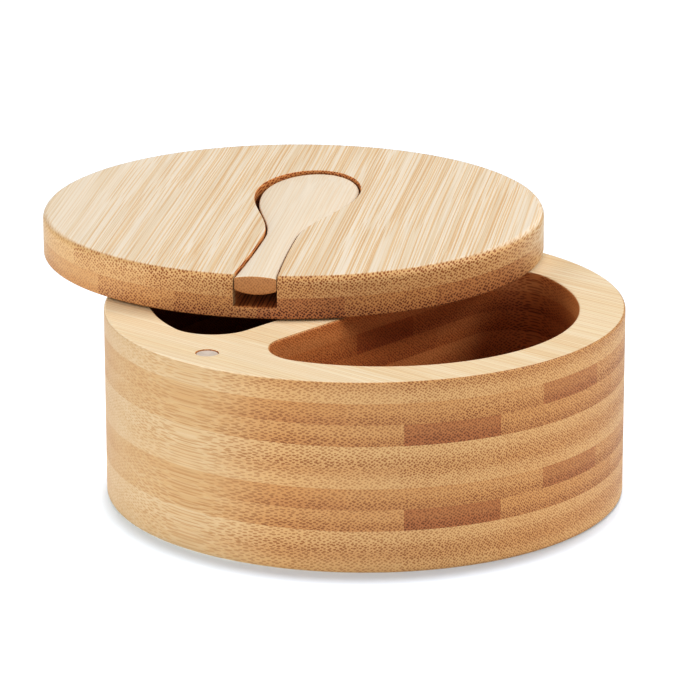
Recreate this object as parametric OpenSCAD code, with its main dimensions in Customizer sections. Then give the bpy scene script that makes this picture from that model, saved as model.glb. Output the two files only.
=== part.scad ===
// Round salt box of laminated bamboo: two compartments under a lid that swivels on a pin,
// a pair of magnets that hold the lid shut, and a small spoon in a recess in the lid.
// Millimetres, +Z up. The origin is the middle of the box's underside.
// The pivot is on +Y, the magnet on -Y, and the grain runs along X.

/* [Box] */
// Outer diameter of the box and of its lid
box_d = 120; // [110:1:150]
// Number of bamboo boards glued up into the box
body_plies = 9; // [6:1:12]
// Thickness of one board of the box
body_ply_t = 4.9; // [4.6:0.1:6]
// Rounding of the rim's outer edge
rim_round = 0.5; // [0.2:0.1:1.5]
// Rounding of the edge that the box stands on
foot_round = 0.8; // [0.2:0.1:2]

/* [Compartments] */
// Wall outside each compartment at its thinnest, with the divider centred
wall_t = 9.2; // [6:0.2:14]
// Thickness of the divider between the two compartments
divider_t = 10.8; // [8:0.2:14]
// Centre line of the divider and of the magnets, across the box
divider_x = -1; // [-2:0.25:2]
// Middle of the compartments along the divider, towards the pivot
pocket_y = 0.75; // [-2:0.25:2]
// Radius of the upright corners of each compartment
corner_r = 10; // [4:0.5:14]
// Thickness of the floor under the compartments
floor_t = 8; // [6:0.5:14]

/* [Lid] */
// Thickness of each of the lid's two boards
lid_ply_t = 5; // [4.7:0.1:6]
// Rounding of the lid's top edge
lid_top_round = 1.6; // [0.4:0.1:2]
// Rounding of the lid's lower edge
lid_under_round = 0.4; // [0.2:0.1:1.5]
// How far the lid stands open, swung clockwise from above
lid_open = 56.3; // [0:0.1:180]

/* [Recess for the spoon] */
// Depth of the recess below the top of the lid
recess_depth = 7.2; // [6:0.1:8]
// Length of the recess, from the rim to its round end
recess_l = 93.5; // [85:0.1:100]
// Width of the recess where it opens at the rim
mouth_w = 10.2; // [8:0.1:13]
// Width of the recess at the spoon's neck
neck_w = 7.8; // [6:0.1:9]
// Width of the recess round the spoon's bowl
bowl_recess_w = 24.9; // [20:0.1:30]
// Distance from the rim to the narrowest place
neck_in = 33.5; // [26:0.5:38]
// Distance from the round end to the widest place
nose_l = 20; // [14:0.1:26]
// How far the recess sits off the middle of the lid, towards the pivot
recess_y = 1.25; // [-3:0.05:3]
// Turn of the recess off the line of the grain
recess_turn = -1.1; // [-3:0.1:3]

/* [Spoon] */
// Clearance beside the handle
handle_gap = 0.35; // [0.3:0.05:0.6]
// Clearance round the bowl
bowl_gap = 0.8; // [0.7:0.1:1.6]
// How far the bowl leans to the pivot's side, off the line of the handle
bowl_lean = 0.5; // [0:0.1:0.6]
// Clearance between the handle's end and the rim
end_gap = 0.4; // [0.3:0.1:1.5]
// How far the middle of the spoon's back lies below the top of the lid
spoon_drop = 0.15; // [0:0.05:1]
// Thickness of the handle
handle_t = 4.4; // [3:0.1:5]
// Radius of the crown across the spoon's back
crown_r = 120; // [60:1:180]
// Radius of the rounded underside of the handle
belly_r = 13.5; // [8:0.5:30]
// Radius of the hollow in the bowl
scoop_r = 12.5; // [11:0.5:16]
// Depth of the hollow in the bowl
scoop_depth = 4.2; // [3:0.1:5]
// Length over which the bowl's depth runs out into the handle
ramp_l = 14; // [8:0.5:20]

/* [Pivot] */
// Diameter of the pivot pin
pin_d = 4; // [3:0.1:5]
// Distance from the rim to the pivot
pivot_in = 8.4; // [7:0.1:12]
// Length of the pin that is glued into the lid
pin_in_lid = 7; // [5.5:0.1:8]
// Length of the pin that turns in the box
pin_in_box = 14; // [10:0.5:20]
// Radial running clearance of the pin in the box
pin_run_gap = 0.05; // [0.02:0.01:0.1]
// Radial glue line round the pin in the lid
pin_glue_gap = 0.02; // [0.01:0.01:0.05]
// Space left past each end of the pin
pin_end_gap = 0.3; // [0.1:0.1:1]
// Thickness of the washer, which is also the gap under the lid
washer_t = 0.4; // [0.3:0.1:1]
// Outer diameter of the washer
washer_d = 9; // [7:0.5:10]
// Radial clearance of the washer round the pin
washer_gap = 0.2; // [0.1:0.05:0.5]

/* [Magnets] */
// Diameter of each magnet
magnet_d = 5; // [3:0.5:7]
// Thickness of each magnet
magnet_t = 3; // [1.5:0.1:3.5]
// Distance from the rim to the middle of a magnet
magnet_in = 8.3; // [7:0.1:12]
// Radial clearance round a magnet
magnet_gap = 0.1; // [0.05:0.05:0.3]
// How far each magnet sits below the face that it is let into
magnet_sink = 0.2; // [0:0.1:0.8]

/* [Hidden] */
$fn = 96;

box_r = box_d / 2;
body_h = body_plies * body_ply_t;
lid_z = body_h + washer_t;
lid_t = 2 * lid_ply_t;
top_z = lid_z + lid_t;
past = 1; // how far a cutting solid runs past the face that it cuts

pivot = [0, box_r - pivot_in];
magnet = [divider_x, magnet_in - box_r];

// Compartments: an arc about the middle of the divider's face, with rounded ends
pocket_r = box_r - wall_t - divider_t / 2;
corner_y = sqrt(pow(pocket_r - corner_r, 2) - pow(corner_r, 2));
corner_a = atan2(corner_y, corner_r);
wall_steps = 60;
corner_steps = 14;

// Recess and spoon: places along the lid, with x = 0 at the middle
mouth_x = box_r;
neck_x = box_r - neck_in;
nose_x = box_r - recess_l;
wide_x = nose_x + nose_l;
recess_z = top_z - recess_depth;
spoon_top = top_z - spoon_drop;
belly_z = spoon_top - handle_t;
outline_steps = 16;

light_bamboo = [0.87, 0.70, 0.48];
dark_bamboo = [0.72, 0.52, 0.33];
pale_bamboo = [0.93, 0.80, 0.61];
steel = [0.70, 0.70, 0.71];
nylon = [0.92, 0.91, 0.88];

// ---- outlines ----

// Points on an arc, both ends included
function arc(c, r, a0, a1, n = 8) =
    [for (i = [0:n]) c + r * [cos(a0 + (a1 - a0) * i / n), sin(a0 + (a1 - a0) * i / n)]];

function all_but_first(points) = [for (i = [1:len(points) - 1]) points[i]];
function all_but_last(points) = [for (i = [0:len(points) - 2]) points[i]];

// Goes smoothly from 0 at a to 1 at b
function ease(x, a, b) =
    (1 - cos(180 * min(1, max(0, (x - a) / (b - a))))) / 2;

// 1 at the bowl, falling to 0 at the neck
function bowlness(x) = 1 - ease(x, wide_x, neck_x);

// Half-width of the recess at x: an elliptical nose, an S-curve to the neck, then a slow flare
function recess_half(x) =
    x < wide_x ? bowl_recess_w / 2 * sqrt(max(0, 1 - pow((wide_x - x) / nose_l, 2)))
    : x < neck_x ? neck_w / 2 + (bowl_recess_w - neck_w) / 2 * bowlness(x)
    : neck_w / 2 + (mouth_w - neck_w) / 2 * pow((x - neck_x) / (mouth_x - neck_x), 2);

// Half-width of the spoon at x, with a nose of its own inside that of the recess
function spoon_half(x) =
    x < wide_x ?
        (bowl_recess_w / 2 - bowl_gap)
        * sqrt(max(0, 1 - pow((wide_x - x) / (nose_l - bowl_gap), 2)))
    : recess_half(x) - handle_gap - (bowl_gap - handle_gap) * bowlness(x);

// Places along the outline, closer together round the nose
function nose_places(length) =
    [for (i = [0:outline_steps]) wide_x - length * cos(90 * i / outline_steps)];
function stem_places(end_x) =
    [for (i = [1:2 * outline_steps]) wide_x + (end_x - wide_x) * i / (2 * outline_steps)];

// Outer corner of a board's section: rounded, or one sharp point where r is 0
function corner(c, r, a0, a1) = r > 0 ? arc(c, r, a0, a1) : [c];

module disc(h, top_round = 0, under_round = 0) {
    rotate_extrude()
        polygon(concat(
            [[0, 0]],
            corner([box_r - under_round, under_round], under_round, -90, 0),
            corner([box_r - top_round, h - top_round], top_round, 0, 90),
            [[0, h]]
        ));
}

// The curved wall, then the corner at each of its ends
module pocket_outline() {
    polygon(concat(
        arc([0, 0], pocket_r, -corner_a, corner_a, wall_steps),
        all_but_first(arc([corner_r, corner_y], corner_r, corner_a, 180, corner_steps)),
        all_but_last(arc([corner_r, -corner_y], corner_r, 180, 360 - corner_a, corner_steps))
    ));
}

module recess_outline() {
    places = concat(nose_places(nose_l), stem_places(mouth_x + past));
    polygon(concat(
        [for (x = places) [x, recess_half(x)]],
        [for (i = [len(places) - 1:-1:1]) [places[i], -recess_half(places[i])]]
    ));
}

module spoon_outline() {
    places = concat(nose_places(nose_l - bowl_gap), stem_places(mouth_x - end_gap));
    polygon(concat(
        [for (x = places) [x, bowl_lean * bowlness(x) + spoon_half(x)]],
        [for (i = [len(places) - 1:-1:1])
            [places[i], bowl_lean * bowlness(places[i]) - spoon_half(places[i])]]
    ));
}

// ---- box ----

// Both compartments, the pin's bore and the magnet's seat, cut down through the glued-up boards
module box_cuts() {
    for (turn = [0, 180])
        translate([divider_x, pocket_y, floor_t])
            rotate([0, 0, turn])
                translate([divider_t / 2, 0, 0])
                    linear_extrude(body_h - floor_t + past)
                        pocket_outline();
    translate([pivot.x, pivot.y, body_h - pin_in_box - pin_end_gap])
        cylinder(d = pin_d + 2 * pin_run_gap, h = pin_in_box + pin_end_gap + past);
    translate([magnet.x, magnet.y, body_h - magnet_t - magnet_sink])
        cylinder(d = magnet_d + 2 * magnet_gap, h = magnet_t + magnet_sink + past);
}

// One board of the box, counted down from the rim. Light and dark boards come in pairs.
module body_ply(i) {
    color(floor(i / 2) % 2 == 0 ? light_bamboo : dark_bamboo)
        difference() {
            translate([0, 0, body_h - i * body_ply_t])
                disc(
                    body_ply_t,
                    top_round = i == 1 ? rim_round : 0,
                    under_round = i == body_plies ? foot_round : 0
                );
            box_cuts();
        }
}

module body_magnet() {
    color(steel)
        translate([magnet.x, magnet.y, body_h - magnet_t - magnet_sink])
            cylinder(d = magnet_d, h = magnet_t);
}

module pivot_washer() {
    color(nylon)
        translate([pivot.x, pivot.y, body_h])
            difference() {
                cylinder(d = washer_d, h = washer_t);
                translate([0, 0, -past])
                    cylinder(d = pin_d + 2 * washer_gap, h = washer_t + 2 * past);
            }
}

// ---- lid: drawn shut, then swung open about the pivot ----

module swing_open() {
    translate([pivot.x, pivot.y, 0])
        rotate([0, 0, -lid_open])
            translate([-pivot.x, -pivot.y, 0])
                children();
}

// Moves what is drawn along X onto the recess's own line
module along_recess() {
    translate([0, recess_y, 0])
        rotate([0, 0, recess_turn])
            children();
}

module lid_cuts() {
    along_recess()
        translate([0, 0, recess_z])
            linear_extrude(recess_depth + past)
                recess_outline();
    translate([pivot.x, pivot.y, lid_z - past])
        cylinder(d = pin_d + 2 * pin_glue_gap, h = pin_in_lid + pin_end_gap + past);
    translate([magnet.x, magnet.y, lid_z - past])
        cylinder(d = magnet_d + 2 * magnet_gap, h = magnet_t + magnet_sink + past);
}

module lid_lower_ply() {
    color(dark_bamboo)
        swing_open()
            difference() {
                translate([0, 0, lid_z])
                    disc(lid_ply_t, under_round = lid_under_round);
                lid_cuts();
            }
}

module lid_upper_ply() {
    color(light_bamboo)
        swing_open()
            difference() {
                translate([0, 0, lid_z + lid_ply_t])
                    disc(lid_ply_t, top_round = lid_top_round);
                lid_cuts();
            }
}

module pivot_pin() {
    color(steel)
        swing_open()
            translate([pivot.x, pivot.y, body_h - pin_in_box])
                cylinder(d = pin_d, h = pin_in_box + washer_t + pin_in_lid);
}

module lid_magnet() {
    color(steel)
        swing_open()
            translate([magnet.x, magnet.y, lid_z + magnet_sink])
                cylinder(d = magnet_d, h = magnet_t);
}

// The spoon lies on its bowl's edge with its back up, so that its handle clears the recess's floor
// and a finger gets under it.
module spoon() {
    color(pale_bamboo)
        swing_open()
            along_recess()
                difference() {
                    intersection() {
                        translate([0, 0, recess_z])
                            linear_extrude(recess_depth)
                                spoon_outline();
                        spoon_side();
                        translate([nose_x, 0, spoon_top - crown_r])
                            rotate([0, 90, 0])
                                cylinder(r = crown_r, h = recess_l);
                        spoon_underside();
                    }
                    translate([wide_x, bowl_lean, recess_z + scoop_depth - scoop_r])
                        sphere(r = scoop_r);
                }
}

// Side view of the spoon: a deep bowl that runs out into the thin handle
module spoon_side() {
    ramp_x = wide_x + scoop_r;
    rotate([90, 0, 0])
        translate([0, 0, -bowl_recess_w])
            linear_extrude(2 * bowl_recess_w)
                polygon([
                    [nose_x, recess_z],
                    [ramp_x, recess_z],
                    [ramp_x + ramp_l, belly_z],
                    [mouth_x, belly_z],
                    [mouth_x, top_z],
                    [nose_x, top_z]
                ]);
}

// Rounds the handle's underside and leaves the bowl alone
module spoon_underside() {
    ramp_end = wide_x + scoop_r + ramp_l;
    translate([ramp_end, 0, belly_z + belly_r])
        rotate([0, 90, 0])
            cylinder(r = belly_r, h = mouth_x - ramp_end);
    translate([nose_x, -bowl_recess_w, recess_z])
        cube([ramp_end - nose_x, 2 * bowl_recess_w, recess_depth]);
}

for (i = [1:body_plies])
    body_ply(i);
lid_lower_ply();
lid_upper_ply();
pivot_pin();
pivot_washer();
body_magnet();
lid_magnet();
spoon();
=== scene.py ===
import math

import bmesh
import bpy
from mathutils import Matrix, Vector
from mathutils.geometry import tessellate_polygon


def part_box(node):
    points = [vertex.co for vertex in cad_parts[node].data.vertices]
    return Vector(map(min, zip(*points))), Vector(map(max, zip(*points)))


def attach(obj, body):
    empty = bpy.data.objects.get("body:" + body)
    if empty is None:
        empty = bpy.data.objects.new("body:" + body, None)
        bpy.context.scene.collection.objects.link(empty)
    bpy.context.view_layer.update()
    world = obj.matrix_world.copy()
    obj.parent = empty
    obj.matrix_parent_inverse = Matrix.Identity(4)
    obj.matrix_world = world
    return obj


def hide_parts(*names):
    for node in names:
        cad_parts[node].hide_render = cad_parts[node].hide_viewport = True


# Round bamboo salt box with a swivel lid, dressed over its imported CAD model.
# Sizes here are in millimetres, in the frame of the part; meshes are written in metres.

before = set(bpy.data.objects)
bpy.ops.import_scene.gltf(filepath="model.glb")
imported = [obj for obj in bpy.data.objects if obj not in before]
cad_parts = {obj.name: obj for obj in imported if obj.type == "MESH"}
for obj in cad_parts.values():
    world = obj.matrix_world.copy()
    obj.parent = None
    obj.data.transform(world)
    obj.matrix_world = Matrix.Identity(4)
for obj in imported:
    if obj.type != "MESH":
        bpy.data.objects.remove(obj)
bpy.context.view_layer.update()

MM = 0.001


def extent(node):
    """Lowest and highest corner of a CAD node, in millimetres."""
    low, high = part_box(node)
    return low / MM, high / MM


# ---- sizes that the frame gives ----

BOARDS = sum(name.startswith("body_ply_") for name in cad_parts)
BOX_R = extent("body_ply_9")[1].x
LID_Z, LID_JOINT_Z = (corner.z for corner in extent("lid_lower_ply"))
TOP_Z = extent("lid_upper_ply")[1].z

PIN_LOW, PIN_HIGH = extent("pivot_pin")
PIN_R = (PIN_HIGH.x - PIN_LOW.x) / 2
PIVOT = ((PIN_LOW + PIN_HIGH) / 2).xy
WASHER_R = (extent("pivot_washer")[1].x - extent("pivot_washer")[0].x) / 2

MAGNET_LOW, MAGNET_HIGH = extent("body_magnet")
MAGNET_R = (MAGNET_HIGH.x - MAGNET_LOW.x) / 2
MAGNET = ((MAGNET_LOW + MAGNET_HIGH) / 2).xy
LID_MAGNET_LOW, LID_MAGNET_HIGH = extent("lid_magnet")
LID_MAGNET = ((LID_MAGNET_LOW + LID_MAGNET_HIGH) / 2).xy

# The lid's pieces are made shut, and their meshes and grain are turned open about the pivot
LID_TURN = (LID_MAGNET - PIVOT).angle_signed(MAGNET - PIVOT)

# ---- sizes repeated from the CAD source ----

RIM_ROUND = 0.5
FOOT_ROUND = 0.8
LID_TOP_ROUND = 1.6
LID_UNDER_ROUND = 0.4

WALL_T = 9.2
DIVIDER_T = 10.8
DIVIDER_X = -1.0
POCKET_Y = 0.75
CORNER_R = 10.0
FLOOR_T = 8.0
POCKET_R = BOX_R - WALL_T - DIVIDER_T / 2

RECESS_DEPTH = 7.2
RECESS_L = 93.5
MOUTH_W = 10.2
NECK_W = 7.8
BOWL_W = 24.9
NECK_IN = 33.5
NOSE_L = 20.0
RECESS_Y = 1.25
RECESS_TURN = math.radians(-1.1)
NECK_X = BOX_R - NECK_IN
NOSE_X = BOX_R - RECESS_L
WIDE_X = NOSE_X + NOSE_L
RECESS_Z = TOP_Z - RECESS_DEPTH

BOWL_GAP = 0.8
END_GAP = 0.4
SPOON_SUNK = 0.15
SPOON_TOP = TOP_Z - SPOON_SUNK
HANDLE_T = 4.4
BELLY_R = 13.5
SCOOP_R = 12.5
SCOOP_DEPTH = 4.2
RAMP_L = 14.0
CROWN_R = 120.0

PIN_RUN_GAP = 0.05
PIN_GLUE_GAP = 0.02
PIN_END_GAP = 0.3
WASHER_GAP = 0.2
MAGNET_GAP = 0.1
PIN_BORE_R = PIN_R + PIN_RUN_GAP
PIN_GLUED_R = PIN_R + PIN_GLUE_GAP
WASHER_HOLE_R = PIN_R + WASHER_GAP
MAGNET_HOLE_R = MAGNET_R + MAGNET_GAP

# ---- sizes that only the looks need ----

POCKET_EASE = 0.5  # rounding of each compartment's edge at the rim
SEAT_EASE = 0.1  # rounding of the edge of the magnet's seat
RECESS_EASE = 0.2  # rounding of the recess's edge at the top of the lid
LIP_ROUND = 0.5  # rounding of the recess's floor where it meets the rim
METAL_EASE = 0.2  # rounding of the pin and the magnets
WASHER_EASE = 0.08
SUPPORT = 0.12  # distance of the loops that keep flat faces flat beside a rounding

HANDLE_GAP = 0.2  # 0.35 in the CAD; in the picture the handle lies closer to the recess
HANDLE_LEAN = 0.06  # how far the spoon lies to one side in its recess, here and at the bowl
BOWL_LEAN = 0.5
SPOON_EDGE = 0.35  # rounding of the edge of the spoon's back
SPOON_UNDER_EDGE = 0.6
HANDLE_CROWN_R = 27.0  # the handle's back is rounder than the bowl's
NOSE_DROP = 0.5  # how far the spoon's nose dips
SCOOP_SOFT = 0.35  # rounding of the hollow's rim
SPOON_NOSE_X = WIDE_X - (NOSE_L - BOWL_GAP)
SPOON_END_X = BOX_R - END_GAP

# ---- mesh steps ----

CIRCLE_STEPS = 240
SMALL_STEPS = 48
ROUND_STEPS = 5
POCKET_WALL_STEPS = 120
POCKET_CORNER_STEPS = 24
MOUTH_STEPS = 14
RECESS_STEPS = 72
RECESS_NOSE_STEPS = 28
SPOON_NOSE_STEPS = 8
SPOON_STEPS = 110
SPOON_EDGE_STEPS = 6
SPOON_INNER_STEPS = 9
SPOON_OUTLINE_STEPS = 900

CLOSE_ENOUGH = 1e-9
SHARP_ANGLE = math.radians(35)  # edges sharper than this are shaded as edges


# ---- mesh building ----


class Shell:
    """A closed mesh made of loops of points, in millimetres."""

    def __init__(self):
        self.points = []
        self.faces = []

    def loop(self, places):
        start = len(self.points)
        self.points += [tuple(place) for place in places]
        return list(range(start, len(self.points)))

    def level(self, outline, z):
        return self.loop([(x, y, z) for x, y in outline])

    def bridge(self, below, above):
        """Quads between two closed loops of as many points."""
        for i in range(len(below)):
            j = (i + 1) % len(below)
            self.faces.append((below[i], below[j], above[j], above[i]))

    def wall(self, outline, steps):
        """Levels of outline(inset) at each (inset, z), joined up. Returns the end loops."""
        loops = [self.level(outline(inset), z) for inset, z in steps]
        for below, above in zip(loops, loops[1:]):
            self.bridge(below, above)
        return loops[0], loops[-1]

    def cap(self, loops):
        """Fills the first loop, less the others."""
        rings = [[Vector(self.points[i]) for i in loop] for loop in loops]
        flat = [i for loop in loops for i in loop]
        self.faces += [tuple(flat[i] for i in corner) for corner in tessellate_polygon(rings)]


def rounding(r, start, end):
    """(inset, rise) along a round of radius r, from one angle to another."""
    angles = [start + (end - start) * i / ROUND_STEPS for i in range(ROUND_STEPS + 1)]
    return [(r - r * math.cos(a), r * math.sin(a)) for a in angles]


def edge_profile(low, high, under=0.0, top=0.0):
    """(inset, z) up a wall whose ends are rounded inwards."""
    quarter = math.pi / 2
    steps = [(0, low)]
    if under:
        steps = [(under + SUPPORT, low)]
        steps += [(inset, low + under + rise) for inset, rise in rounding(under, -quarter, 0)]
        steps += [(0, low + under + SUPPORT)]
    if not top:
        return steps + [(0, high)]
    steps += [(0, high - top - SUPPORT)]
    steps += [(inset, high - top + rise) for inset, rise in rounding(top, 0, quarter)]
    return steps + [(top + SUPPORT, high)]


def slab(shell, outline, steps, holes=()):
    """A plate up the profile steps, with holes of (outline, profile steps). A hole that stops
    inside the plate is closed there."""
    bottom, top = shell.wall(outline, steps)
    low, high = steps[0][1], steps[-1][1]
    under, over = [bottom], [top]
    for hole, hole_steps in holes:
        first, last = shell.wall(hole, hole_steps)
        if abs(hole_steps[0][1] - low) < CLOSE_ENOUGH:
            under.append(first)
        else:
            shell.cap([first])
        if abs(hole_steps[-1][1] - high) < CLOSE_ENOUGH:
            over.append(last)
        else:
            shell.cap([last])
    shell.cap(under)
    shell.cap(over)


def make_piece(name, shell, body, node, material, place=None):
    """Turns a shell into an object that stands for a CAD node and rides with its body."""
    mesh = bpy.data.meshes.new(name)
    mesh.from_pydata([Vector(p) * MM for p in shell.points], [], shell.faces)
    if place is not None:
        mesh.transform(place)
    work = bmesh.new()
    work.from_mesh(mesh)
    bmesh.ops.recalc_face_normals(work, faces=work.faces)
    work.to_mesh(mesh)
    work.free()
    mesh.polygons.foreach_set("use_smooth", [True] * len(mesh.polygons))
    mesh.set_sharp_from_angle(angle=SHARP_ANGLE)
    mesh.materials.append(material)
    piece = bpy.data.objects.new(name, mesh)
    bpy.context.scene.collection.objects.link(piece)
    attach(piece, body)
    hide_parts(node)
    return piece


# ---- outlines ----


def arc(cx, cy, r, start, end, steps):
    """Points on an arc, both ends included."""
    angles = [start + (end - start) * i / steps for i in range(steps + 1)]
    return [(cx + r * math.cos(a), cy + r * math.sin(a)) for a in angles]


def circle(cx, cy, r, steps=CIRCLE_STEPS):
    return arc(cx, cy, r, 0, 2 * math.pi, steps)[:-1]


def disc_outline(inset):
    return circle(0, 0, BOX_R - inset)


def round_hole(centre, r):
    return lambda ease: circle(centre[0], centre[1], r + ease, SMALL_STEPS)


def round_plug(centre, r):
    return lambda inset: circle(centre[0], centre[1], r - inset, SMALL_STEPS)


def pocket_outline(side):
    """Outline of the compartment on one side of the divider: a curved wall with round ends."""
    corner_y = math.sqrt((POCKET_R - CORNER_R) ** 2 - CORNER_R**2)
    corner_a = math.atan2(corner_y, CORNER_R)

    def outline(ease):
        r = CORNER_R + ease
        steps = POCKET_CORNER_STEPS
        points = arc(0, 0, POCKET_R + ease, -corner_a, corner_a, POCKET_WALL_STEPS)
        points += arc(CORNER_R, corner_y, r, corner_a, math.pi, steps)[1:]
        points += arc(CORNER_R, -corner_y, r, math.pi, 2 * math.pi - corner_a, steps)[:-1]
        return [(DIVIDER_X + side * (DIVIDER_T / 2 + x), POCKET_Y + side * y) for x, y in points]

    return outline


def smooth(x, start, end):
    """Goes smoothly from 0 at start to 1 at end."""
    share = min(1.0, max(0.0, (x - start) / (end - start)))
    return (1 - math.cos(math.pi * share)) / 2


def bowlness(x):
    """1 at the bowl, falling to 0 at the neck."""
    return 1 - smooth(x, WIDE_X, NECK_X)


def recess_half(x, grow=0.0):
    """Half-width of the recess at x: an elliptical nose, an S-curve to the neck, a slow flare."""
    if x < WIDE_X:
        share = (WIDE_X - x) / (NOSE_L + grow)
        return (BOWL_W / 2 + grow) * math.sqrt(max(0.0, 1 - share**2))
    if x < NECK_X:
        return (NECK_W + (BOWL_W - NECK_W) * bowlness(x)) / 2 + grow
    flare = ((x - NECK_X) / (BOX_R - NECK_X)) ** 2
    return (NECK_W + (MOUTH_W - NECK_W) * flare) / 2 + grow


def on_lid(x, y):
    """Turns a place along the recess into a place on the shut lid."""
    c, s = math.cos(RECESS_TURN), math.sin(RECESS_TURN)
    return c * x - s * y, s * x + c * y + RECESS_Y


def mouth_place(side, r, grow):
    """Where one side of the recess meets a circle of radius r, as x along the recess. Found by
    halving the stretch that holds it."""
    past_edge, halvings = 2, 40
    low, high = NECK_X, BOX_R + past_edge
    for _ in range(halvings):
        middle = (low + high) / 2
        x, y = on_lid(middle, side * recess_half(middle, grow))
        if math.hypot(x, y) < r:
            low = middle
        else:
            high = middle
    return low


def recess_side(side, r, grow):
    """One side of the recess, from its mouth to its round end."""
    mouth = mouth_place(side, r, grow)
    nose = NOSE_L + grow
    quarter = math.pi / 2
    places = [mouth + (WIDE_X - mouth) * i / RECESS_STEPS for i in range(RECESS_STEPS)]
    for i in range(RECESS_NOSE_STEPS + 1):
        places.append(WIDE_X - nose * math.sin(quarter * i / RECESS_NOSE_STEPS))
    return [on_lid(x, side * recess_half(x, grow)) for x in places]


def mouth_angle(side, r, grow):
    """Angle of one of the recess's two corners on a circle of radius r."""
    mouth = mouth_place(side, r, grow)
    x, y = on_lid(mouth, side * recess_half(mouth, grow))
    return math.atan2(y, x)


def lid_rim(r, grow):
    """The lid's round edge, from one side of the recess's mouth round to the other."""
    start, end = mouth_angle(1, r, grow), mouth_angle(-1, r, grow) + 2 * math.pi
    return arc(0, 0, r, start, end, CIRCLE_STEPS)


def lid_outline(inset):
    """The lid's edge, in at the recess's mouth, round the recess and out again."""
    r = BOX_R - inset
    grow = RECESS_EASE * inset / LID_TOP_ROUND
    near, far = recess_side(-1, r, grow), recess_side(1, r, grow)
    return lid_rim(r, grow)[:-1] + near + far[-2:0:-1]


# ---- the lid's lower board, which holds the recess's floor ----


def full_disc(inset, lip=0.0):
    """The lid's edge with the recess's mouth closed by an arc, set in by the lip."""
    start, end = mouth_angle(-1, BOX_R, 0), mouth_angle(1, BOX_R, 0)
    rim = arc(0, 0, BOX_R - inset, end, start + 2 * math.pi, CIRCLE_STEPS)
    return rim + arc(0, 0, BOX_R - inset - lip, start, end, MOUTH_STEPS)[1:-1]


def lid_lower_shell():
    """A full disc up to the recess's floor, then the lid's own outline up to the joint."""
    shell = Shell()
    steps = edge_profile(LID_Z, RECESS_Z - LIP_ROUND, under=LID_UNDER_ROUND)
    bottom, last = shell.wall(full_disc, steps)
    for lip, rise in rounding(LIP_ROUND, 0, math.pi / 2)[1:]:
        ring = shell.level(full_disc(0, lip), RECESS_Z - LIP_ROUND + rise)
        shell.bridge(last, ring)
        last = ring

    rim_count = CIRCLE_STEPS + 1
    floor_edge = shell.level(lid_outline(0)[rim_count:], RECESS_Z)
    shell.cap([[last[0]] + floor_edge[::-1] + last[rim_count - 1 :]])
    top = shell.level(lid_outline(0), LID_JOINT_Z)
    shell.bridge(last[:rim_count] + floor_edge, top)

    pin_hole = round_hole(PIVOT, PIN_GLUED_R)
    pin_low, pin_high = shell.wall(pin_hole, edge_profile(LID_Z, LID_JOINT_Z))
    magnet_hole = round_hole(MAGNET, MAGNET_HOLE_R)
    magnet_low, magnet_end = shell.wall(magnet_hole, edge_profile(LID_Z, LID_MAGNET_HIGH.z))
    shell.cap([magnet_end])
    shell.cap([bottom, pin_low, magnet_low])
    shell.cap([top, pin_high])
    return shell


# ---- the spoon, which lies back up in the recess ----


def bowl_fit(x):
    """1 at the bowl, where the spoon lies loosely, falling fast to 0 at the neck."""
    return bowlness(x) ** 3


def spoon_half(x):
    """Half-width of the spoon at x, with a nose of its own inside that of the recess."""
    if x < WIDE_X:
        return recess_half(x, -BOWL_GAP)
    return recess_half(x) - HANDLE_GAP - (BOWL_GAP - HANDLE_GAP) * bowl_fit(x)


def spoon_lean(x):
    """How far to one side the spoon lies at x."""
    return HANDLE_LEAN + (BOWL_LEAN - HANDLE_LEAN) * bowl_fit(x)


def quarter_steps(steps):
    """Angles over a quarter turn, both ends included."""
    return [math.pi / 2 * i / steps for i in range(steps + 1)]


def spoon_places():
    """Places along the spoon, closer together at the nose and at the handle's end."""
    first, growth = 0.02, 0.14
    close = [SPOON_NOSE_X + first + growth * i * i for i in range(1, SPOON_NOSE_STEPS + 1)]
    start, end = close[-1], SPOON_END_X - SPOON_EDGE
    stem = [start + (end - start) * i / SPOON_STEPS for i in range(1, SPOON_STEPS + 1)]
    return close + stem + [end + SPOON_EDGE * math.sin(a) for a in quarter_steps(SPOON_EDGE_STEPS)[1:]]


def spoon_sides(x):
    """Lateral places across the spoon at x, closer together near both edges."""
    least_half, most_edge = 0.05, 0.8
    half = max(spoon_half(x), least_half)
    edge = min(SPOON_EDGE, most_edge * half)
    rounds = [half - edge * (1 - math.cos(a)) for a in quarter_steps(SPOON_EDGE_STEPS)]
    inner = [rounds[-1] * (1 - i / SPOON_INNER_STEPS) for i in range(1, SPOON_INNER_STEPS)]
    out = rounds + inner
    return [-y for y in out] + [0.0] + out[::-1]


def edge_drop(distance, r):
    """How far a rounded edge of radius r lies below its face, at a distance in from the edge."""
    if distance >= r:
        return 0.0
    return r - math.sqrt(max(0.0, r * r - (r - distance) ** 2))


def spoon_outline():
    """Points close together on both sides of the spoon, closest at its nose."""
    length, crowding = SPOON_END_X - SPOON_NOSE_X, 1.5
    shares = [(i / SPOON_OUTLINE_STEPS) ** crowding for i in range(SPOON_OUTLINE_STEPS + 1)]
    places = [SPOON_NOSE_X + length * share for share in shares]
    return [(x, side * spoon_half(x)) for x in places for side in (-1, 1)]


def outline_distance(x, y, outline):
    """Distance from a place on the spoon to its outline, or a long way if no point is near."""
    reach, long_way = 2.5, 9.0
    near = [p for p in outline if abs(p[0] - x) < reach]
    side = min((math.hypot(x - px, y - py) for px, py in near), default=long_way)
    return min(side, SPOON_END_X - x)


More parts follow.
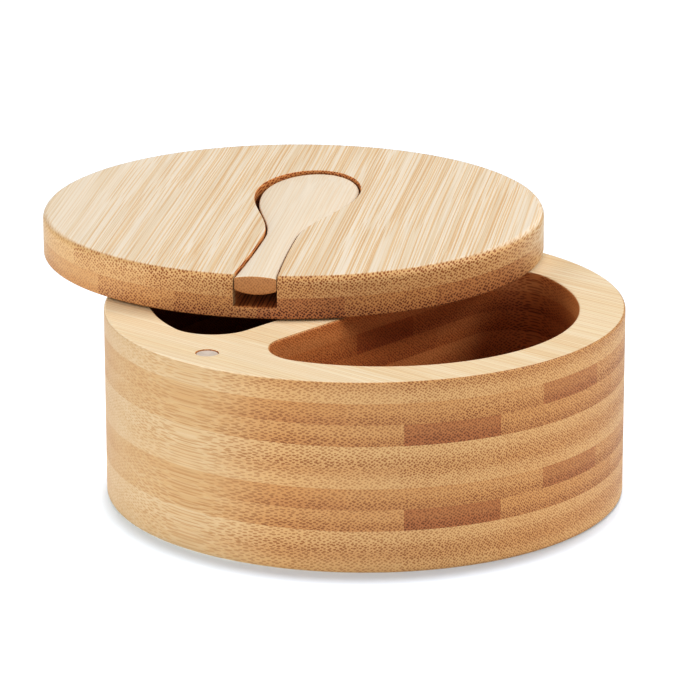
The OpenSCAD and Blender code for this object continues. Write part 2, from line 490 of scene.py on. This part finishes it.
def spoon_back(x, y, distance):
    """Height of the spoon's back: crowned across, and rounded at its edge."""
    r = CROWN_R + (HANDLE_CROWN_R - CROWN_R) * smooth(x, WIDE_X, NECK_X)
    crown = r - math.sqrt(r * r - y * y)
    nose_drop = NOSE_DROP * max(0.0, (WIDE_X - x) / NOSE_L) ** 2
    return SPOON_TOP - crown - nose_drop - edge_drop(distance, SPOON_EDGE)


def spoon_belly(x, y, distance):
    """Height of the spoon's underside: the bowl's rim and hollow, the ramp and the handle."""
    ramp_x = WIDE_X + SCOOP_R
    handle = SPOON_TOP - HANDLE_T + BELLY_R - math.sqrt(BELLY_R**2 - y * y)
    flat = RECESS_Z + (handle - RECESS_Z) * smooth(x, ramp_x, ramp_x + RAMP_L)
    across = math.hypot(x - WIDE_X, y)
    inside = SCOOP_R**2 - across**2
    hollow = math.sqrt(inside) - (SCOOP_R - SCOOP_DEPTH) if inside > 0 else -SCOOP_R
    scooped = max(0.0, hollow)
    if abs(hollow) <= SCOOP_SOFT:
        scooped = (hollow + SCOOP_SOFT) ** 2 / (4 * SCOOP_SOFT)
    return flat + scooped + edge_drop(distance, SPOON_UNDER_EDGE)


def spoon_rows(shell):
    """Rows of points across the spoon's back and underside, over the same places."""
    outline = spoon_outline()
    backs, bellies = [], []
    for x in spoon_places():
        sides = spoon_sides(x)
        gaps = [outline_distance(x, y, outline) for y in sides]
        gaps[0] = gaps[-1] = 0.0
        spots = [on_lid(x, y + spoon_lean(x)) for y in sides]
        for rows, height in ((backs, spoon_back), (bellies, spoon_belly)):
            row = [(*spot, height(x, y, gap)) for spot, y, gap in zip(spots, sides, gaps)]
            rows.append(shell.loop(row))
    return backs, bellies


def spoon_shell():
    """Back and underside as two grids, joined round the outline."""
    shell = Shell()
    backs, bellies = spoon_rows(shell)
    for rows in (backs, bellies):
        for a, b in zip(rows, rows[1:]):
            for i in range(len(a) - 1):
                shell.faces.append((a[i], a[i + 1], b[i + 1], b[i]))
    for a, b, c, d in zip(backs, backs[1:], bellies, bellies[1:]):
        for i in (0, -1):
            shell.faces.append((a[i], b[i], d[i], c[i]))
    for row, under in ((backs[0], bellies[0]), (backs[-1], bellies[-1])):
        for i in range(len(row) - 1):
            shell.faces.append((row[i], row[i + 1], under[i + 1], under[i]))
    return shell


# ---- materials ----

LIGHT_LEVEL = 1.25  # light on most faces, against the white of the picture
VIEW_GAMMA = 0.8  # the picture's contrast: below 1 it deepens the shadows and the colours


def seen(red, green, blue):
    """Surface colour that looks like this 8-bit colour in the scene's light."""

    def linear(value):
        share = (value / 255) ** VIEW_GAMMA
        if share <= 0.04045:
            return share / 12.92
        return ((share + 0.055) / 1.055) ** 2.4

    return tuple(linear(value) / LIGHT_LEVEL for value in (red, green, blue)) + (1.0,)


class Nodes:
    """Adds shader nodes to a new material. Each method returns an output socket."""

    def __init__(self, name):
        self.material = bpy.data.materials.new(name)
        self.material.use_nodes = True
        self.tree = self.material.node_tree
        self.tree.nodes.clear()

    def add(self, kind, inputs=None, **settings):
        node = self.tree.nodes.new("ShaderNode" + kind)
        for key, value in settings.items():
            setattr(node, key, value)
        for key, value in (inputs or {}).items():
            self.feed(node.inputs[key], value)
        return node

    def feed(self, socket, value):
        if isinstance(value, bpy.types.NodeSocket):
            self.tree.links.new(value, socket)
        else:
            socket.default_value = value

    def math(self, operation, *values):
        inputs = dict(enumerate(values))
        return self.add("Math", inputs, operation=operation).outputs[0]

    def millimetres(self, place):
        return self.vector("MULTIPLY", place, (1 / MM, 1 / MM, 1 / MM))

    def vector(self, operation, *values):
        inputs = dict(enumerate(values))
        return self.add("VectorMath", inputs, operation=operation).outputs[0]

    def combine(self, x, y, z):
        return self.add("CombineXYZ", {0: x, 1: y, 2: z}).outputs[0]

    def separate(self, vector):
        return self.add("SeparateXYZ", {0: vector}).outputs

    def fade(self, value, start, end, low=0.0, high=1.0):
        """Goes smoothly from low to high as value goes from start to end."""
        inputs = {"Value": value, "From Min": start, "From Max": end}
        inputs.update({"To Min": low, "To Max": high})
        return self.add("MapRange", inputs, interpolation_type="SMOOTHSTEP").outputs[0]

    def mix(self, factor, first, second, blend="MIX"):
        node = self.add("Mix", data_type="RGBA", blend_type=blend)
        self.feed(node.inputs[0], factor)
        self.feed(node.inputs[6], first)
        self.feed(node.inputs[7], second)
        return node.outputs[2]

    def noise(self, vector, scale=1.0, detail=2.0, roughness=0.5, output="Fac"):
        inputs = {"Vector": vector, "Scale": scale, "Detail": detail, "Roughness": roughness}
        return self.add("TexNoise", inputs).outputs[output]

    def cells(self, vector, randomness):
        """Distance to the nearest cell's middle, and a random value for that cell."""
        inputs = {"Vector": vector, "Scale": 1.0, "Randomness": randomness}
        node = self.add("TexVoronoi", inputs, voronoi_dimensions="2D")
        return node.outputs["Distance"], self.separate(node.outputs["Color"])[0]

    def ramp(self, value, stops, interpolation="LINEAR"):
        node = self.add("ValToRGB", {"Fac": value})
        node.color_ramp.interpolation = interpolation
        elements = node.color_ramp.elements
        while len(elements) < len(stops):
            elements.new(1.0)
        for element, (position, color) in zip(elements, stops):
            element.position = position
            element.color = color
        return node.outputs["Color"]

    def finish(self, color, roughness, height=None, depth=0.0, metallic=0.0, specular=0.5):
        inputs = {"Base Color": color, "Roughness": roughness, "Metallic": metallic}
        inputs["Specular IOR Level"] = specular
        shader = self.add("BsdfPrincipled", inputs)
        if height is not None:
            bump = self.add("Bump", {"Height": height, "Distance": depth * MM, "Strength": 1.0})
            self.tree.links.new(bump.outputs[0], shader.inputs["Normal"])
        out = self.add("OutputMaterial")
        self.tree.links.new(shader.outputs[0], out.inputs[0])
        return self.material


# Colours of bamboo from the palest strip to the darkest, as they look in the picture: on a
# level face, on the box's level rim, on an upright face along the grain, and on one across it.
# Each LINE and PORE is the colour of the fibres in the face above it.
LEVEL = [(0.0, seen(252, 235, 211)), (0.5, seen(242, 217, 181)), (1.0, seen(228, 187, 140))]
LEVEL_LINE = [(0.0, seen(240, 204, 157)), (1.0, seen(222, 172, 118))]
RIM = [(0.0, seen(255, 236, 203)), (0.5, seen(247, 219, 172)), (1.0, seen(232, 190, 132))]
ALONG = [(0.0, seen(211, 182, 140)), (0.5, seen(200, 158, 105)), (1.0, seen(181, 126, 72))]
ALONG_LINE = [(0.0, seen(190, 144, 90)), (1.0, seen(158, 102, 54))]
ACROSS = [(0.0, seen(220, 177, 119)), (0.5, seen(199, 140, 81)), (1.0, seen(169, 100, 55))]
PORE = [(0.0, seen(156, 90, 40)), (0.5, seen(114, 56, 26)), (1.0, seen(74, 32, 16))]
INSIDE_SHADE = (1.06, 0.79, 0.62, 1.0)  # painted shade: what is left of the colour of faces inside the compartments and the recess

STRIP_W = 19.7
STRIP_SPAN = 2 * (BOX_R + 10)  # width over which strips are laid out, about the middle

# How squarely a face's normal points some way, where a kind of face begins and is complete
LEVEL_FACE = (0.4, 0.9)
NEAR_END = (0.02, 0.45)
FAR_END = (0.04, 0.4)
# painted sheen: the end facing -X keeps the colour along the grain until it faces nearly straight back
SHEEN_FAR_END = (0.35, 1.0)

# Where a face lies when it is inside a compartment or a recess, where painted shade darkens it
SHADED_WALL = (BOX_R - 2, BOX_R - 3)  # radius of an upright face
SHADED_FLOOR_DEPTH = (1.1, 1.5)  # distance of a level face from the faces of its board
SHADED_FLOOR_REACH = (BOX_R, BOX_R - 0.4)

# Scales of the grain's patterns along the fibres, across them and upwards, for each millimetre
WANDER_SCALE = (0.01, 0.05, 0.08)
CLOUD_SCALE = (0.006, 0.25, 0.35)
STREAK_SCALE = (0.006, 2.9, 1.2)
HAIR_SCALE = (0.04, 6.0, 6.0)
WANDER_REACH = (0.0, 2.6, 2.2)  # how far the fibres wander, in millimetres

PORE_TURN = math.radians(52)  # the fibre bundles stand in rows at this slope
PORE_FLATNESS = 1.15
PORE_DISORDER = 0.5
PORE_SIZES = (0.8, 1.2)  # smallest and largest pore, against the usual one
PORE_SOFTNESS = 0.06
COARSE_SIZE = 0.32  # radius of a fibre bundle, against the distance between bundles
FINE_SIZE = 0.27
FINE_STEP = 0.62  # distance between the fine bundles, against that between the coarse ones

GRAIN_DEPTH = 0.015


def strip_ramp(n, y, strips, part):
    """One value for each strip of a board: its tone, part 1, or its figure, part 2."""
    share = n.math("DIVIDE", n.math("ADD", y, STRIP_SPAN / 2), STRIP_SPAN)
    stops = []
    for strip in strips:
        value = strip[part]
        edge = max(0.0, (strip[0] + STRIP_SPAN / 2) / STRIP_SPAN)
        stops.append((edge, (value, value, value, 1.0)))
    return n.ramp(share, stops, "CONSTANT")


def in_grain(n, vector, turn, centre):
    """Turns a vector back from how its piece is turned about an upright axis."""
    inputs = {"Vector": vector, "Center": centre, "Angle": -turn}
    return n.add("VectorRotate", inputs, rotation_type="Z_AXIS").outputs[0]


def wandering(n, point, shift):
    """The point, moved as the fibres wander a little along the culm."""
    slow = n.vector("MULTIPLY", point, WANDER_SCALE)
    slow = n.vector("ADD", slow, (shift, shift * 2.3, shift * 3.1))
    wander = n.vector("SUBTRACT", n.noise(slow, detail=1.5, output="Color"), (0.5, 0.5, 0.5))
    return n.vector("ADD", point, n.vector("MULTIPLY", wander, WANDER_REACH))


def painted_inside_shade(n, point, low, high, level, inside_shading):
    """How much painted shade darkens and browns a face, because it lies inside a compartment or a
    recess.
    """
    x, y, z = n.separate(point)
    radius = n.add("VectorMath", {0: n.combine(x, y, 0.0)}, operation="LENGTH").outputs["Value"]
    wall = n.math("MULTIPLY", n.fade(level, 1.0, 0.0), n.fade(radius, *SHADED_WALL, 0.0, inside_shading))
    above_low = n.fade(z, *(low + distance for distance in SHADED_FLOOR_DEPTH))
    below_high = n.fade(z, *(high - distance for distance in SHADED_FLOOR_DEPTH))
    floor = n.math("MINIMUM", above_low, below_high)
    floor = n.math("MULTIPLY", floor, n.fade(radius, *SHADED_FLOOR_REACH, 0.0, inside_shading))
    return n.math("MAXIMUM", wall, n.math("MULTIPLY", floor, level))


def pores(n, y, z, step, size):
    """Spots where fibre bundles of about one size stand step apart, in sloping rows."""
    c, s = math.cos(PORE_TURN) / step, math.sin(PORE_TURN) / step
    flat_c, flat_s = PORE_FLATNESS * c, PORE_FLATNESS * s
    along = n.math("ADD", n.math("MULTIPLY", y, c), n.math("MULTIPLY", z, s))
    across = n.math("SUBTRACT", n.math("MULTIPLY", z, flat_c), n.math("MULTIPLY", y, flat_s))
    distance, chance = n.cells(n.combine(along, across, 0.0), PORE_DISORDER)
    radius = n.fade(chance, 0.0, 1.0, *(share * size for share in PORE_SIZES))
    return n.fade(n.math("SUBTRACT", distance, radius), PORE_SOFTNESS, -PORE_SOFTNESS)


def fibre_marks(n, drift, depth, shift, pore_step, fine_share):
    """Fibre bundles: spots across the grain and lines along it, most on the dense side."""
    _, y, z = n.separate(drift)
    coarse = pores(n, n.math("ADD", y, shift * 7), z, pore_step, COARSE_SIZE)
    coarse = n.math("MULTIPLY", coarse, n.fade(depth, 0.0, 0.85, 0.75, 1.0))
    fine = pores(n, y, n.math("ADD", z, shift * 3), FINE_STEP * pore_step, FINE_SIZE)
    fine = n.math("MULTIPLY", fine, n.math("MULTIPLY", depth, fine_share))
    return n.math("MAXIMUM", coarse, fine)


def tone_change(n, drift, level, across, streaks):
    """Slow changes of tone along and across the strips, strongest on level faces."""
    cloud = n.noise(n.vector("MULTIPLY", drift, CLOUD_SCALE), detail=3.0)
    streak = n.noise(n.vector("MULTIPLY", drift, STREAK_SCALE), detail=2.0, roughness=0.6)
    cloud = n.fade(cloud, 0.34, 0.66, -0.8 * streaks, streaks)
    streak = n.fade(streak, 0.38, 0.62, -streaks, 1.2 * streaks)
    upright_share, across_share = 0.5, 0.25
    spread = n.fade(level, 0.0, 1.0, upright_share, 1.0)
    spread = n.math("MULTIPLY", spread, n.fade(across, 0.0, 1.0, 1.0, across_share))
    return n.math("MULTIPLY", n.math("ADD", cloud, streak), spread)


def wood_color(n, shade, level, across, marks, level_colors):
    """Colour of the wood and of its fibres, as each kind of face shows them."""
    base = n.mix(level, n.ramp(shade, ALONG), n.ramp(shade, level_colors))
    base = n.mix(across, base, n.ramp(shade, ACROSS))
    mark = n.mix(level, n.ramp(shade, ALONG_LINE), n.ramp(shade, LEVEL_LINE))
    mark = n.mix(across, mark, n.ramp(shade, PORE))
    return n.mix(marks, base, mark)


def bamboo(
    name,
    low,
    high,
    strips,
    dense_top=False,
    shift=0.0,
    pore_step=0.58,
    end_tone=0.0,
    dense_tone=0.16,
    fine_share=0.4,
    streaks=0.16,
    inside_shading=1.0,
    sheen_pale_end=False,
    turn=0.0,
    level_colors=LEVEL,
):
    """A board of bamboo strips between two heights, with its fibres along X before its turn.

    strips holds (left edge in y, tone, figure) for each strip: tone 0 is palest and 1 darkest,
    and figure is how strongly its fibres show. shift moves the pattern, so that no two boards
    are alike. end_tone darkens the faces across the grain, and dense_tone their dense side.
    fine_share is how strongly the fine fibres show on that side, and streaks how much the tone
    changes. One argument sets how strongly painted shade darkens and browns the faces inside the
    compartments and the recess, and another asks for a painted sheen on the end that faces -X,
    which makes it show its fibres less and keeps it paler."""
    n = Nodes(name)
    place = n.add("TexCoord")
    point = n.millimetres(place.outputs["Object"])
    normal = place.outputs["Normal"]
    if turn:
        point = in_grain(n, point, turn, (*PIVOT, 0.0))
        normal = in_grain(n, normal, turn, (0.0, 0.0, 0.0))

    # How level a face is, and how much it shows cut fibres
    facing = n.separate(normal)
    back = n.math("MULTIPLY", facing[0], -1.0)
    level = n.fade(n.math("ABSOLUTE", facing[2]), *LEVEL_FACE)
    # painted shade: faces inside the compartments and the recess take the colours across the grain,
    # and are darkened and browned below
    inside = painted_inside_shade(n, point, low, high, level, inside_shading)
    # painted sheen: where asked for, the end that faces -X turns to the colour across the grain later,
    # so it stays paler
    far = n.fade(back, *(SHEEN_FAR_END if sheen_pale_end else FAR_END))
    across = n.math("MAXIMUM", n.fade(facing[0], *NEAR_END), far)
    across = n.math("MAXIMUM", across, inside)

    # Height within the board, from the sparse side of its fibres to the dense one
    _, y, z = n.separate(point)
    depth = n.fade(z, low, high) if dense_top else n.fade(z, high, low)

    drift = wandering(n, point, shift)
    end_shade = n.fade(depth, 0.35, 1.0, end_tone, end_tone + dense_tone)
    shade = n.math("ADD", strip_ramp(n, y, strips, 1), n.math("MULTIPLY", end_shade, across))
    shade = n.math("ADD", shade, tone_change(n, drift, level, across, streaks))

    marks = fibre_marks(n, drift, depth, shift, pore_step, fine_share)
    marks = n.math("MULTIPLY", marks, strip_ramp(n, y, strips, 2))
    # painted sheen: the end that faces -X shows its fibres less
    if sheen_pale_end:
        marks = n.math("MULTIPLY", marks, n.fade(back, 0.1, 0.6, 1.0, 0.5))

    hair = n.noise(n.vector("MULTIPLY", drift, HAIR_SCALE), detail=2.0)
    value = n.fade(hair, 0.3, 0.7, 0.96, 1.03)
    color = wood_color(n, shade, level, across, marks, level_colors)
    color = n.mix(1.0, color, n.combine(value, value, value), "MULTIPLY")
    # painted shade inside the compartments and the recess
    color = n.mix(inside, color, n.mix(1.0, color, INSIDE_SHADE, "MULTIPLY"))
    rough = n.fade(marks, 0.0, 1.0, 0.46, 0.62)
    height = n.math("SUBTRACT", n.math("MULTIPLY", hair, 0.3), marks)
    return n.finish(color, rough, height, GRAIN_DEPTH, specular=0.25)


def even_strips(offset, looks):
    """Strips of one width and their looks, the first of them starting at offset from the middle."""
    return [(offset + STRIP_W * i, *look) for i, look in enumerate(looks)]


# The box's boards repeat every four: a pale one, two dark ones and a pale one. Each holds where
# its first strip starts, tone and figure of its strips from -Y on, and whether its top is dense.
BOARD_RECIPES = [
    (-59.5, [(0.2, 0.6), (0.22, 0.8), (0.28, 0.8), (0.24, 0.8), (0.2, 0.8)], True),
    (-67.3, [(0.5, 0.6), (0.45, 0.7), (0.42, 0.85), (0.76, 0.75), (0.46, 0.9), (0.5, 0.8)], False),
    (-58.6, [(0.42, 0.7), (0.9, 0.7), (0.5, 0.85), (0.48, 0.85), (0.38, 0.85), (0.45, 0.8)], False),
    (-57.5, [(0.16, 0.8), (0.18, 0.8), (0.24, 0.8), (0.26, 0.8), (0.27, 0.8)], False),
]


def board_material(i):
    low, high = extent(f"body_ply_{i}")
    offset, looks, dense_top = BOARD_RECIPES[(i - 1) % len(BOARD_RECIPES)]
    return bamboo(
        f"bamboo_board_{i}",
        low.z,
        high.z,
        even_strips(offset, looks),
        dense_top,
        shift=1.7 * i,
        streaks=0.13,
        # painted sheen on the end of each board that faces -X
        sheen_pale_end=True,
        level_colors=RIM,
    )


def lid_lower_material():
    looks = [(0.0, 0.4), (0.08, 0.8), (0.2, 1.0), (0.46, 1.0), (0.2, 1.0), (0.36, 0.9)]
    return bamboo(
        "bamboo_lid_lower",
        LID_Z,
        LID_JOINT_Z,
        even_strips(-58.6, looks),
        shift=21.3,
        pore_step=0.64,
        end_tone=0.36,
        fine_share=0.3,
        turn=LID_TURN,
    )


def lid_upper_material():
    looks = [(0.0, 0.4), (0.09, 0.8), (0.18, 1.0), (0.26, 1.0), (0.17, 1.0), (0.17, 1.0), (0.14, 0.8)]
    return bamboo(
        "bamboo_lid_upper",
        LID_JOINT_Z,
        TOP_Z,
        even_strips(-66.0, looks),
        dense_top=True,
        shift=27.9,
        pore_step=0.65,
        end_tone=0.12,
        dense_tone=-0.1,
        fine_share=0.0,
        streaks=0.26,
        turn=LID_TURN,
    )


def spoon_material():
    """One pale strip, wider than the spoon."""
    return bamboo(
        "bamboo_spoon",
        RECESS_Z,
        TOP_Z,
        [(-70, 0.06, 0.45)],
        shift=33.1,
        pore_step=0.6,
        end_tone=0.62,
        streaks=0.06,
        # no painted shade inside the spoon
        inside_shading=0.0,
        turn=LID_TURN,
    )


def metal(name, color, roughness, scale, metallic=1.0):
    """Drawn or plated metal with slight smudges, and fine dents a ninth of their size."""
    n = Nodes(name)
    point = n.millimetres(n.add("TexCoord").outputs["Object"])
    cloud = n.noise(point, scale=scale, detail=3.0)
    fine = n.noise(point, scale=scale * 9, detail=2.0)
    smudge = tuple(share * 0.86 for share in color[:3]) + (1.0,)
    tint = n.mix(n.fade(cloud, 0.3, 0.7), color, smudge)
    rough = n.fade(fine, 0.3, 0.7, roughness - 0.06, roughness + 0.08)
    return n.finish(tint, rough, fine, 0.004, metallic=metallic)


def nylon():
    n = Nodes("washer_nylon")
    point = n.millimetres(n.add("TexCoord").outputs["Object"])
    cloud = n.noise(point, scale=1.2, detail=2.0)
    color = n.mix(n.fade(cloud, 0.3, 0.7), seen(226, 222, 212), seen(214, 209, 197))
    return n.finish(color, n.fade(cloud, 0.3, 0.7, 0.42, 0.5), cloud, 0.01)


# ---- the box ----


def body_board(i):
    """One board of the box, counted down from the rim."""
    low, high = (corner.z for corner in extent(f"body_ply_{i}"))
    at_rim, at_foot = i == 1, i == BOARDS
    holes = []
    if high > FLOOR_T:
        ease = POCKET_EASE if at_rim else 0
        pocket_steps = edge_profile(max(low, FLOOR_T), high, 0, ease)
        holes += [(pocket_outline(side), pocket_steps) for side in (1, -1)]
    bore_end = PIN_LOW.z - PIN_END_GAP
    if high > bore_end:
        bore = edge_profile(max(low, bore_end), high)
        holes.append((round_hole(PIVOT, PIN_BORE_R), bore))
    if at_rim:
        seat = edge_profile(MAGNET_LOW.z, high, 0, SEAT_EASE)
        holes.append((round_hole(MAGNET, MAGNET_HOLE_R), seat))
    steps = edge_profile(low, high, FOOT_ROUND if at_foot else 0, RIM_ROUND if at_rim else 0)
    shell = Shell()
    slab(shell, disc_outline, steps, holes)
    return make_piece(f"board_{i}", shell, "box", f"body_ply_{i}", board_material(i))


def turned(name, body, node, material, outline, ease, hole=None, place=None):
    """A small round part as high as its CAD node."""
    low, high = (corner.z for corner in extent(node))
    steps = edge_profile(low, high, ease, ease)
    holes = [(hole, steps)] if hole else []
    shell = Shell()
    slab(shell, outline, steps, holes)
    return make_piece(name, shell, body, node, material, place)


def rim_magnet(nickel):
    plug = round_plug(MAGNET, MAGNET_R)
    return turned("magnet_in_rim", "box", "body_magnet", nickel, plug, METAL_EASE)


def washer():
    ring = round_plug(PIVOT, WASHER_R)
    hole = round_hole(PIVOT, WASHER_HOLE_R)
    return turned("washer", "box", "pivot_washer", nylon(), ring, WASHER_EASE, hole)


# ---- the lid and what turns with it ----


def lid_place():
    """Turns the lid's pieces, made shut, to where the frame holds them open."""
    centre = Vector((*PIVOT, 0)) * MM
    turn = Matrix.Rotation(LID_TURN, 4, "Z")
    return Matrix.Translation(centre) @ turn @ Matrix.Translation(-centre)


def lid_lower():
    shell, wood = lid_lower_shell(), lid_lower_material()
    return make_piece("lid_lower", shell, "lid", "lid_lower_ply", wood, lid_place())


def lid_upper():
    shell, wood = Shell(), lid_upper_material()
    steps = edge_profile(LID_JOINT_Z, TOP_Z, 0, LID_TOP_ROUND)
    pin_steps = edge_profile(LID_JOINT_Z, PIN_HIGH.z + PIN_END_GAP)
    slab(shell, lid_outline, steps, [(round_hole(PIVOT, PIN_GLUED_R), pin_steps)])
    return make_piece("lid_upper", shell, "lid", "lid_upper_ply", wood, lid_place())


def lid_metal(name, node, material, centre, r):
    """The pin or the magnet, which are glued into the lid."""
    plug = round_plug(centre, r)
    return turned(name, "lid", node, material, plug, METAL_EASE, place=lid_place())


def spoon():
    shell, wood = spoon_shell(), spoon_material()
    return make_piece("spoon_back_up", shell, "spoon", "spoon", wood, lid_place())


# ---- floor, light and camera ----

HEADING = math.radians(41.3)  # the picture's view, turned about Z from the part's own axes
CAMERA_PLACE = (1.92, -947.4, 330.5)
CAMERA_DOWN = 0.3045
CAMERA_YAW = -0.0056
CAMERA_ROLL = -0.0015
LENS_PIXELS = 4297.2
PICTURE_PIXELS = 700
SENSOR_W = 36
CLIP = (0.05, 20)  # nearest and farthest that the camera sees, in metres

FLOOR_HALF = 6.0  # in metres
FLOOR_COLORS = [(0.79, 0.86, 0.94, 1.0), (0.8, 0.87, 0.95, 1.0)]

WORLD_LEVEL = 0.32
MIDDLE = (0, 0, 40)

# Soft lights on the part: name, place, aim, width and height in metres, level at the aim
PART_LIGHTS = [
    ("above", (0, 230, 2000), (0, 0, 0), (0.46, 0.46), 0.23),
    ("front_low", (0, -1600, 150), MIDDLE, (1.4, 0.3), 0.46),
    ("left_low", (-1500, -500, 200), MIDDLE, (0.9, 0.4), 0.4),
    ("left_high", (-1300, 0, 1100), MIDDLE, (0.8, 0.8), 0.27),
    ("right_high", (1300, 0, 1100), MIDDLE, (0.8, 0.8), 0.84),
]

# Suns on the floor: name, place, width in degrees, level
FLOOR_SHADE = ("floor_shade", (40, 270, 2000), 10.0, 0.78)
FLOOR_FILL = ("floor_fill", (0, 0, 1), 0.0, 0.34)


def from_view(x, y, z):
    """A place given in millimetres from the part's origin, as the picture's viewer sees it:
    to the right, away and up."""
    return Matrix.Rotation(HEADING, 4, "Z") @ (Vector((x, y, z)) * MM)


def add_camera():
    data = bpy.data.cameras.new("camera")
    data.sensor_width = SENSOR_W
    data.lens = SENSOR_W * LENS_PIXELS / PICTURE_PIXELS
    data.clip_start, data.clip_end = CLIP
    camera = bpy.data.objects.new("camera", data)
    bpy.context.scene.collection.objects.link(camera)
    heading = Matrix.Rotation(HEADING - CAMERA_YAW, 4, "Z")
    down = Matrix.Rotation(math.pi / 2 - CAMERA_DOWN, 4, "X")
    roll = Matrix.Rotation(CAMERA_ROLL, 4, "Z")
    camera.matrix_world = Matrix.Translation(from_view(*CAMERA_PLACE)) @ heading @ down @ roll
    bpy.context.scene.camera = camera


def floor_material():
    n = Nodes("floor")
    point = n.add("TexCoord").outputs["Object"]
    cloud = n.noise(point, scale=6.0, detail=2.0)
    return n.finish(n.mix(cloud, *FLOOR_COLORS), 0.9, specular=0.1)


def add_floor():
    mesh = bpy.data.meshes.new("floor")
    corners = [(x * FLOOR_HALF, y * FLOOR_HALF, 0) for x, y in ((-1, -1), (1, -1), (1, 1), (-1, 1))]
    mesh.from_pydata(corners, [], [(0, 1, 2, 3)])
    mesh.materials.append(floor_material())
    floor = bpy.data.objects.new("floor", mesh)
    bpy.context.scene.collection.objects.link(floor)
    return floor


def collect(name, objects):
    """A collection that only the lights look at."""
    group = bpy.data.collections.new(name)
    for item in objects:
        group.objects.link(item)
    return group


def hang(name, data, start, end, lights, blockers=None):
    """Puts a light at the start, aimed at the end, for one collection. Where blockers are
    given, only they shade it."""
    light = bpy.data.objects.new(name, data)
    bpy.context.scene.collection.objects.link(light)
    light.rotation_mode = "QUATERNION"
    light.rotation_quaternion = (end - start).to_track_quat("-Z", "Y")
    light.location = start
    light.light_linking.receiver_collection = lights
    if blockers:
        light.light_linking.blocker_collection = blockers


def add_area(lights, name, place, aim, size, level):
    """A soft light that gives the aim this level."""
    start, end = from_view(*place), from_view(*aim)
    data = bpy.data.lights.new(name, "AREA")
    data.shape = "RECTANGLE"
    data.size, data.size_y = size
    data.energy = level * (math.pi * (end - start).length) ** 2
    hang(name, data, start, end, lights)


def add_sun(lights, blockers, name, place, width, level):
    """Light from far off that gives a face square to it this level."""
    data = bpy.data.lights.new(name, "SUN")
    data.angle = math.radians(width)
    data.energy = level * math.pi
    hang(name, data, from_view(*place), Vector((0, 0, 0)), lights, blockers)


def add_world():
    world = bpy.data.worlds.new("studio")
    world.use_nodes = True
    background = world.node_tree.nodes["Background"]
    background.inputs["Color"].default_value = (1.0, 1.0, 1.0, 1.0)
    background.inputs["Strength"].default_value = WORLD_LEVEL
    bpy.context.scene.world = world


def add_lights(floor, box, lid):
    """Soft light all round, and a white floor that shows only the shadow of the box, as the
    retouched picture does."""
    part = collect("lit_part", box + lid)
    stage = collect("lit_floor", [floor])
    for light in PART_LIGHTS:
        add_area(part, *light)
    add_sun(stage, collect("shading_box", box), *FLOOR_SHADE)
    add_sun(stage, stage, *FLOOR_FILL)


def main():
    steel = metal("pin_steel", (0.62, 0.62, 0.63, 1.0), roughness=0.28, scale=0.8)
    plating = seen(238, 222, 206)
    nickel = metal("magnet_nickel", plating, roughness=0.42, scale=0.7, metallic=0.12)
    box = [body_board(i) for i in range(1, BOARDS + 1)]
    box += [rim_magnet(nickel), washer()]
    lid = [lid_lower(), lid_upper()]
    lid.append(lid_metal("pin", "pivot_pin", steel, PIVOT, PIN_R))
    lid.append(lid_metal("magnet_in_lid", "lid_magnet", nickel, MAGNET, MAGNET_R))
    lid.append(spoon())
    add_camera()
    add_world()
    add_lights(add_floor(), box, lid)
    bpy.context.scene.view_settings.view_transform = "Standard"
    bpy.context.scene.view_settings.gamma = VIEW_GAMMA


main()
